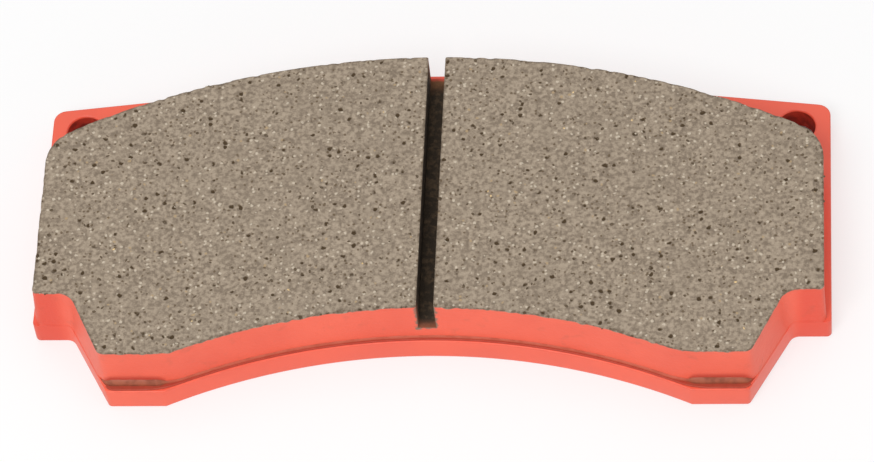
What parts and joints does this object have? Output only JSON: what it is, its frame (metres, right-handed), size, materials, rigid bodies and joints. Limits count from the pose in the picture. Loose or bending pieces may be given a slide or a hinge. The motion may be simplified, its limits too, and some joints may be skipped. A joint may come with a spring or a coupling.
{
  "type": "disc brake pad",
  "caption": "Painted steel backing plate with pin holes near its upper corners, carrying a moulded friction lining divided by a radial slot, for a fixed disc brake caliper.",
  "frame": {"origin": "middle of the back face, halfway across the pad and halfway between its feet and its crown", "axes": "+X across the pad along its longest side, +Y outwards from the wheel's centre, +Z from the back face to the friction face"},
  "size_m": [0.15, 0.0716, 0.0157],
  "materials": {
    "painted_steel": "satin red-orange powder paint",
    "adhesive": "cured brown adhesive",
    "lining_base": "moulded compound, painted over on its edges",
    "friction_compound": "ground friction face with dark and pale grains"
  },
  "bodies": {
    "root": {"backing_plate": "painted_steel", "bond_layer": "adhesive", "underlayer": "lining_base", "friction_block_left": "friction_compound", "friction_block_right": "friction_compound"}
  },
  "joints": []
}
